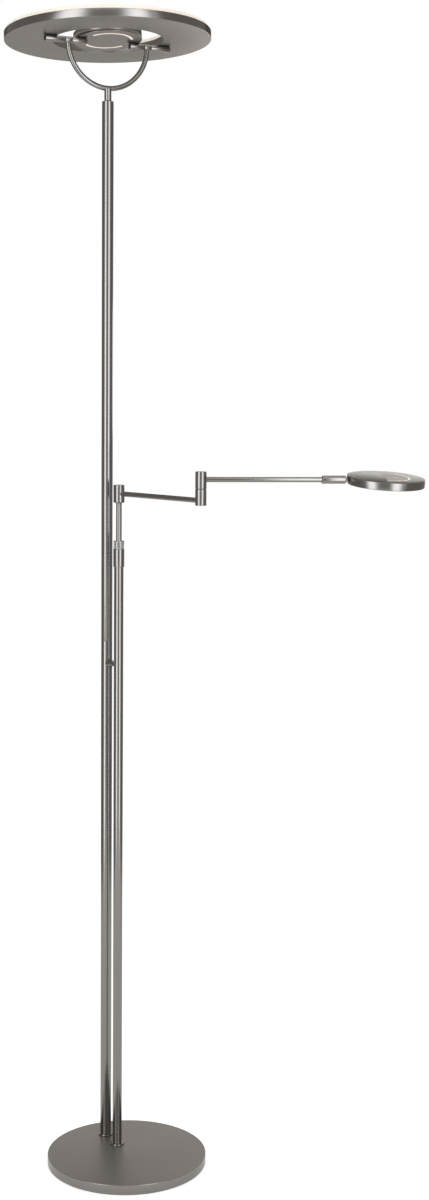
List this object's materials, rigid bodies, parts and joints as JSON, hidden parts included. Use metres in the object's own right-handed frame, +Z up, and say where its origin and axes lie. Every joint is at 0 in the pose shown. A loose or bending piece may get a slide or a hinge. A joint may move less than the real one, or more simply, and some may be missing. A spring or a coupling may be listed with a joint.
{
  "type": "floor lamp",
  "caption": "Floor lamp with a tilting ring uplighter and centre puck on a yoke, and a round reading head on a double swing arm with adjustable height.",
  "frame": {"origin": "centre of the foot's underside, on the floor", "axes": "+Z up along the poles; the front, where the reading pole stands ahead of the main pole, is -Y; the yoke's pivot axis runs along X"},
  "size_m": [0.5291, 0.5518, 1.8089],
  "materials": {
    "nickel_steel": "brushed satin nickel on steel",
    "bright_nickel": "brighter nickel, knurled",
    "nickel_aluminium": "brushed satin nickel on aluminium",
    "zinc_steel": "zinc plated steel",
    "cast_weight": "rough grey cast iron",
    "felt": "dark felt",
    "black_plastic": "black moulded plastic",
    "opal_acrylic": "opal acrylic, lit from inside",
    "light_guide": "frosted acrylic light guide",
    "circuit_board": "white solder mask",
    "led_chip": "phosphor coated chip"
  },
  "bodies": {
    "foot": {"base_cover": "nickel_steel", "base_weight": "cast_weight", "base_pad": "felt", "cord_grommet": "black_plastic", "led_driver": "black_plastic", "main_pole_flange": "nickel_steel", "main_pole_stud": "zinc_steel", "main_pole_locknut": "zinc_steel", "main_pole_lower": "nickel_steel", "main_pole_upper": "nickel_steel", "pole_coupler": "zinc_steel", "pole_top_bush": "black_plastic", "pole_spacer": "nickel_steel", "reading_pole_flange": "nickel_steel", "reading_pole_stud": "zinc_steel", "reading_pole_locknut": "zinc_steel", "reading_pole": "nickel_steel", "reading_pole_sleeve": "nickel_steel", "clamp_collet": "black_plastic"},
    "clamp": {"clamp_nut": "bright_nickel"},
    "rod": {"reading_rod": "nickel_steel", "rod_guide": "black_plastic", "rod_end_plug": "zinc_steel", "hinge_washer": "black_plastic", "hinge_screw": "zinc_steel"},
    "lower_arm_body": {"hinge_barrel": "nickel_steel", "hinge_cap": "nickel_steel", "lower_arm": "nickel_steel", "elbow_lower_barrel": "nickel_steel", "elbow_washer": "black_plastic", "elbow_screw": "zinc_steel"},
    "upper_arm_body": {"elbow_upper_barrel": "nickel_steel", "elbow_cap": "nickel_steel", "upper_arm": "nickel_steel", "arm_end_sleeve": "nickel_steel"},
    "neck": {"head_neck": "nickel_steel", "neck_clip": "zinc_steel"},
    "reading_head": {"head_housing": "nickel_aluminium", "head_pin": "zinc_steel", "head_diffuser": "opal_acrylic", "head_light_guide": "light_guide", "head_led_board": "circuit_board", "head_leds": "led_chip"},
    "yoke": {"yoke_tube": "nickel_steel", "yoke_barrels": "nickel_steel", "pivot_axles": "zinc_steel", "yoke_stub": "nickel_steel", "yoke_retainer": "zinc_steel"},
    "uplighter_ring": {"ring_housing": "nickel_aluminium", "ring_led_board": "circuit_board", "ring_leds": "led_chip", "ring_diffuser": "opal_acrylic", "ring_pivot_tubes": "nickel_steel", "ring_tube_plugs": "black_plastic"},
    "centre_puck": {"puck_housing": "nickel_aluminium", "puck_light_guides": "light_guide", "puck_led_board": "circuit_board", "puck_diffuser": "opal_acrylic", "puck_pivot_tubes": "nickel_steel", "puck_tube_plugs": "black_plastic"}
  },
  "joints": [
    {"name": "clamp_nut_turn", "type": "hinge", "parent": "foot", "child": "clamp", "pos_m": [0, 0.036, 0.9964], "axis": [0, 0, 1], "range_deg": [0, 90]},
    {"name": "reading_height", "type": "slide", "parent": "foot", "child": "rod", "axis": [0, 0, 1], "range_m": [-0.055, 0.25]},
    {"name": "arm_swivel", "type": "hinge", "parent": "rod", "child": "lower_arm_body", "pos_m": [0, 0.036, 1.0842], "axis": [0, 0, 1], "range_deg": [-150, 130]},
    {"name": "elbow_swivel", "type": "hinge", "parent": "lower_arm_body", "child": "upper_arm_body", "pos_m": [0.04496, -0.15272, 1.1157], "axis": [0, 0, 1], "range_deg": [-196, 84]},
    {"name": "head_twist", "type": "hinge", "parent": "upper_arm_body", "child": "neck", "pos_m": [0.25852, -0.23257, 1.1157], "axis": [0.9367, -0.3502, 0], "range_deg": [-150, 150]},
    {"name": "head_tilt", "type": "hinge", "parent": "neck", "child": "reading_head", "pos_m": [0.25852, -0.23257, 1.1157], "axis": [0.3483, 0.9314, 0.1056], "range_deg": [-10, 35]},
    {"name": "yoke_swivel", "type": "hinge", "parent": "foot", "child": "yoke", "pos_m": [0, 0.08, 1.6908], "axis": [0, 0, 1], "range_deg": [-165, 165]},
    {"name": "ring_tilt", "type": "hinge", "parent": "yoke", "child": "uplighter_ring", "pos_m": [0, 0.08, 1.778], "axis": [1, 0, 0], "range_deg": [-42, 45]},
    {"name": "puck_tilt", "type": "hinge", "parent": "yoke", "child": "centre_puck", "pos_m": [0, 0.08, 1.778], "axis": [1, 0, 0], "range_deg": [-55, 60]}
  ]
}
